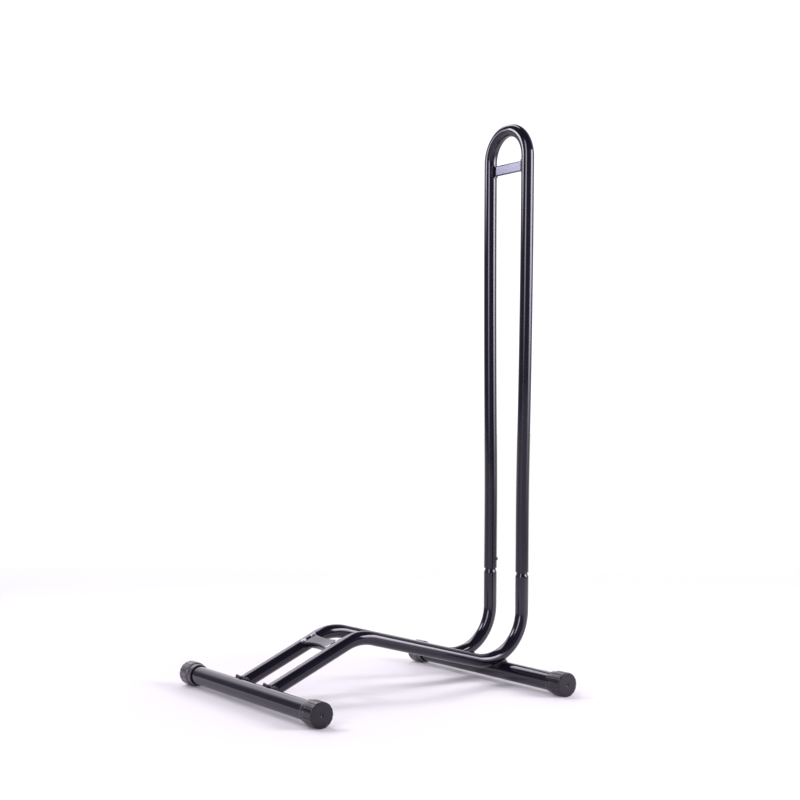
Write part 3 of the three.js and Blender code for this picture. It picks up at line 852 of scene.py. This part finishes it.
def tyre_rest():
    along = front_run - REST_BEFORE_PEAK
    slope = radians(FRONT_SLOPE)
    origin = np.array([0.0, FRONT_Y + along * math.cos(slope), front_z + along * math.sin(slope)])
    up_slope = np.array([0.0, math.cos(slope), math.sin(slope)])
    up = np.array([0.0, -math.sin(slope), math.cos(slope)])

    def put(x, y, z):
        return origin + np.array([x, 0, 0]) + up_slope * y + up * z

    add_piece("tyre_rest_painted", rest_shape(put), PAINT, nodes=["tyre_rest"], sharp=45)

    weld_x, weld_z = rest_reach(REST_TOP) + 0.25, REST_TOP - 0.6
    weld_start, weld_length, weld_steps = 3.4, 9.4, 12
    welds = []
    for sx in (-1, 1):
        for sy in (-1, 1):
            path = [
                put(sx * weld_x, sy * (weld_start + weld_length * step / weld_steps), weld_z)
                for step in range(weld_steps + 1)]
            welds.append(bead(path, radius=2.1, seed=40 + sx * 2 + sy, sides=20, ripple=0.09, pitch=2.2))
    # these weld beads carry painted glints: bright metal-coloured patches on their crowns
    add_piece("tyre_rest_welds", join_shapes(welds), GLINT_WELD, sharp=WELD_SHARP)


# ---------------------------------------------------------------- label plate
def facing_front(back_y):
    """Stands a flat layout upright, with its underside at back_y and its top to the front."""

    def bend(u, v, height):
        return (u, back_y - height, PLATE_Z + v)

    return bend


def around_leg(side):
    """Rolls a flat layout around the inner side of a hoop leg: u up the leg, v around it."""

    def bend(u, v, height):
        angle = v / (TUBE_R + 1.2)
        radius = TUBE_R + 0.15 + height
        return (
            side * (PLATE_HALF_SPACING - radius * math.cos(angle)),
            UPRIGHT_Y + radius * math.sin(angle), PLATE_Z + u)

    return bend


def label_plate():
    reach = PLATE_HALF_SPACING - TUBE_R - 1.2
    back, front = UPRIGHT_Y + PLATE_SHEET / 2, UPRIGHT_Y - PLATE_SHEET / 2
    shapes = [rounded_plate(
        half_length=reach, half_width=7.75, corner=0.8, thickness=PLATE_SHEET, fillet=0.4,
        bend=facing_front(back), side_steps=10, rings_in=5)]
    for side in (-1, 1):
        shapes.append(rounded_plate(
            half_length=9.25, half_width=5.4, corner=1.6, thickness=1.95, fillet=0.5,
            bend=around_leg(side), side_steps=12, rings_in=5))
    add_piece("label_plate_painted", join_shapes(shapes), PAINT, "hoop", ["label_plate"])

    weld_half, weld_steps = 6.6, 14
    welds = []
    for side in (-1, 1):
        for face in (-1, 1):
            path = [
                (side * (reach - 0.2), UPRIGHT_Y + face, PLATE_Z + weld_half * (2 * step / weld_steps - 1))
                for step in range(weld_steps + 1)]
            welds.append(bead(path, radius=0.75, seed=60 + side * 3 + face, ripple=0.2, pitch=1.4))
    add_piece("label_plate_welds", join_shapes(welds), WELD_PAINT, "hoop", sharp=WELD_SHARP)

    shape = rounded_plate(
        half_length=reach - 2.8, half_width=6.2, corner=1.4, thickness=0.35, fillet=0.12,
        bend=facing_front(front), side_steps=10, rings_in=5)
    add_piece("label_face", shape, LABEL, "hoop")


# ---------------------------------------------------------------- assembly
for side_name, sign in (("left", -1), ("right", 1)):
    tube_x = sign * HALF_SPACING
    lower_tube("lower_tube_" + side_name, tube_x)
    front_weld("front_weld_" + side_name, tube_x)
    rear_weld("rear_weld_" + side_name, tube_x)
    front_saddle("saddle_front_" + side_name, tube_x)
    rear_saddle("saddle_rear_" + side_name, tube_x)
    for end_name, end_sign in (("inner", -sign), ("outer", sign)):
        saddle_screw("saddle_screw_" + side_name + "_" + end_name, tube_x + end_sign * SADDLE_SCREW_OFFSET)
    locking_screw("locking_screw_" + side_name, sign)
    for bar_name, bar_y in (("front", FRONT_Y), ("rear", REAR_Y)):
        end_cap("end_cap_" + bar_name + "_" + side_name, sign, bar_y)
hoop()
crossbar("front_crossbar", FRONT_Y)
crossbar("rear_crossbar", REAR_Y)
tyre_rest()
label_plate()


# ---------------------------------------------------------------- floor
FLOOR_HALF = 40.0
# the near paper colour is painted shade: darker, lilac paper around the stand that fades into the far paper
PAPER_NEAR_SHADED = (0.785, 0.760, 0.800)
PAPER_FAR = (0.95, 0.94, 0.955)
PAPER_FADE = (0.28, 0.75)  # the distances from the middle at which the painted shade near the stand gives way to the far paper
BEHIND = (-0.825, 0.565, 0.0)  # away from the camera
WHITE_FADE = (0.7, 1.8)  # how far behind the floor turns white
WHITE = (1.0, 1.0, 1.0, 1.0)


def studio_floor():
    """A plain pale floor with painted shade: its colour is darker and lilac near the stand. It keeps the
    stand's shadows, and behind the stand it runs out into white.
    """
    material, nodes = fresh_material("floor_look")
    place = nodes.place()
    distance = nodes.add("ShaderNodeVectorMath", {0: place}, operation="LENGTH").outputs["Value"]
    mottle = nodes.smooth(nodes.noise(2.0, 3.0), 0.3, 0.7, -0.04, 0.04)
    shade = nodes.maths("ADD", nodes.smooth(distance, *PAPER_FADE), mottle)
    paper = nodes.principled({
        "Base Color": nodes.ramp(shade, (0.0, PAPER_NEAR_SHADED), (1.0, PAPER_FAR)),
        "Roughness": 0.6,
        "Specular IOR Level": 0.1,
    })

    # behind the stand the floor is plain white, to the camera and in gloss alike
    ray = nodes.add("ShaderNodeLightPath").outputs
    looked_at = nodes.maths("MAXIMUM", ray["Is Camera Ray"], ray["Is Glossy Ray"])
    looked_at = nodes.maths("MAXIMUM", looked_at, ray["Is Transmission Ray"])
    runs_out = nodes.smooth(nodes.dot(place, BEHIND), *WHITE_FADE)
    white = nodes.add("ShaderNodeEmission", {"Color": WHITE, "Strength": 1.0}).outputs["Emission"]
    share = nodes.maths("MULTIPLY", runs_out, looked_at)
    nodes.surface(nodes.add("ShaderNodeMixShader", {"Fac": share, 1: paper, 2: white}).outputs["Shader"])

    mesh = bpy.data.meshes.new("studio_floor")
    corners = [(FLOOR_HALF * x, FLOOR_HALF * y, 0) for x, y in ((-1, -1), (1, -1), (1, 1), (-1, 1))]
    mesh.from_pydata(corners, [], [(0, 1, 2, 3)])
    mesh.materials.append(material)
    floor = bpy.data.objects.new("studio_floor", mesh)
    floor.location.z = -0.00005
    bpy.context.scene.collection.objects.link(floor)


studio_floor()


# ---------------------------------------------------------------- camera
# A pinhole camera that was fitted to the photo. Its focal length is in the photo's pixels
YAW, PITCH, ROLL = radians(55.615), radians(-0.945), radians(0.497)
CAMERA_PLACE = (1.6903, -1.1326, 0.3721)
SENSOR_WIDTH = 36.0
PHOTO_WIDTH = 800.0
FOCAL_PIXELS = 1460.18

forward = Vector((-math.sin(YAW) * math.cos(PITCH), math.cos(YAW) * math.cos(PITCH), -math.sin(PITCH)))
right = Vector((math.cos(YAW), math.sin(YAW), 0))
up = right.cross(forward)
camera_x = right * math.cos(ROLL) + up * math.sin(ROLL)
camera_y = up * math.cos(ROLL) - right * math.sin(ROLL)
camera_data = bpy.data.cameras.new("photo_camera")
camera_data.sensor_fit = "HORIZONTAL"
camera_data.sensor_width = SENSOR_WIDTH
camera_data.lens = SENSOR_WIDTH * FOCAL_PIXELS / PHOTO_WIDTH
camera_data.shift_x = -0.0002
camera_data.shift_y = -0.003
camera_data.clip_end = 50.0
camera = bpy.data.objects.new("photo_camera", camera_data)
stance = Matrix((camera_x, camera_y, -forward)).transposed().to_4x4()
stance.translation = Vector(CAMERA_PLACE)
camera.matrix_world = stance
bpy.context.scene.collection.objects.link(camera)
bpy.context.scene.camera = camera


# ---------------------------------------------------------------- studio light
ROOM_COLOUR = (0.965, 0.935, 1.0, 1.0)
ROOM_GREY_LOW, ROOM_GREY_HIGH = 0.27, 0.12
SOFT_BOX_COLOUR = (0.985, 0.965, 1.0)


def studio_world():
    """A grey room with a white backdrop behind the stand, a soft top light and a weak strip in front. The
    soft boxes are lamps of their own. Azimuths are about Z from +X, and rises are above the horizon."""
    world = bpy.data.worlds.new("studio")
    bpy.context.scene.world = world
    world.use_nodes = True
    world.node_tree.nodes.clear()
    nodes = Nodes(world.node_tree)
    maths, smooth = nodes.maths, nodes.smooth
    direction = nodes.add("ShaderNodeTexCoord").outputs["Generated"]
    x, y, z = nodes.add("ShaderNodeSeparateXYZ", {"Vector": direction}).outputs
    level = maths("ADD", maths("MULTIPLY", x, x), maths("MULTIPLY", y, y))
    level = maths("SQRT", maths("MAXIMUM", level, 1e-6))

    def sector(azimuth, half_width, soft):
        """1 within a half width of an azimuth, with soft sides."""
        along_x = maths("MULTIPLY", x, math.cos(radians(azimuth)))
        along_y = maths("MULTIPLY", y, math.sin(radians(azimuth)))
        cosine = maths("DIVIDE", maths("ADD", along_x, along_y), level)
        return smooth(cosine, math.cos(radians(half_width + soft)), math.cos(radians(half_width - soft)))

    def panel(azimuth, half_width, soft, rises, strength):
        """A bright area that starts, is full, is full still and ends at the four rises."""
        start, full, full_still, end = (math.sin(radians(rise)) for rise in rises)
        band = maths("MULTIPLY", smooth(z, start, full), smooth(z, full_still, end, 1.0, 0.0))
        return maths("MULTIPLY", maths("MULTIPLY", sector(azimuth, half_width, soft), band), strength)

    # the backdrop ends at its left edge and fades to its right
    fade = sector(142.0, 62, 28)
    backdrop = [
        maths("MULTIPLY", fade, panel(100, 95.6, 9, rises, 1.0))
        for rises in ((-30, -10, 14, 34), (10, 24, 36, 56))]
    seen = smooth(z, math.sin(radians(12)), math.sin(radians(40)), ROOM_GREY_LOW, ROOM_GREY_HIGH)
    for part in backdrop:
        seen = maths("ADD", seen, part)
    top_light = panel(173.0, 19, 8, (26, 46, 76, 84), 4.6)
    front_strip = panel(293.5, 9, 3, (-1, 9, 36, 50), 8.0)

    # the camera sees the room as the gloss does, and the two lights are out of the picture
    camera_ray = nodes.add("ShaderNodeLightPath").outputs["Is Camera Ray"]
    glow = maths("MULTIPLY", maths("ADD", top_light, front_strip), maths("SUBTRACT", 1.0, camera_ray))
    inputs = {"Color": ROOM_COLOUR, "Strength": maths("ADD", seen, glow)}
    studio = nodes.add("ShaderNodeBackground", inputs).outputs["Background"]
    nodes.add("ShaderNodeOutputWorld", {"Surface": studio})


def soft_box(name, azimuth, distance, width, bottom, full, top, radiance):
    """A tall soft box that faces the uprights, as an area lamp. It is dim at its bottom edge and fully lit
    from the height full."""
    lamp = bpy.data.lights.new(name, "AREA")
    lamp.shape = "RECTANGLE"
    height = top - bottom
    lamp.size, lamp.size_y = width, height
    lamp.color = SOFT_BOX_COLOUR
    lamp.energy = radiance * math.pi * width * height
    lamp.use_nodes = True
    nodes = Nodes(lamp.node_tree)
    emission = next(node for node in lamp.node_tree.nodes if node.type == "EMISSION")
    position = nodes.add("ShaderNodeNewGeometry").outputs["Position"]
    z = nodes.add("ShaderNodeSeparateXYZ", {"Vector": position}).outputs["Z"]
    lamp.node_tree.links.new(nodes.smooth(z, bottom, full), emission.inputs["Strength"])
    box = bpy.data.objects.new(name, lamp)
    out = Vector((math.cos(radians(azimuth)), math.sin(radians(azimuth)), 0))
    box.location = Vector((0, UPRIGHT_Y * MM, (bottom + top) / 2)) + out * distance
    box.rotation_euler = out.to_track_quat("Z", "Y").to_euler()
    box.visible_camera = False
    bpy.context.scene.collection.objects.link(box)


studio_world()
soft_box("soft_box_right", 39.5, 1.5, 0.9, bottom=0.05, full=1.0, top=1.4, radiance=12.6)
soft_box("soft_box_left", 231.0, 1.34, 0.58, bottom=0.76, full=1.1, top=1.5, radiance=12.2)

bpy.context.scene.view_settings.view_transform = "Standard"
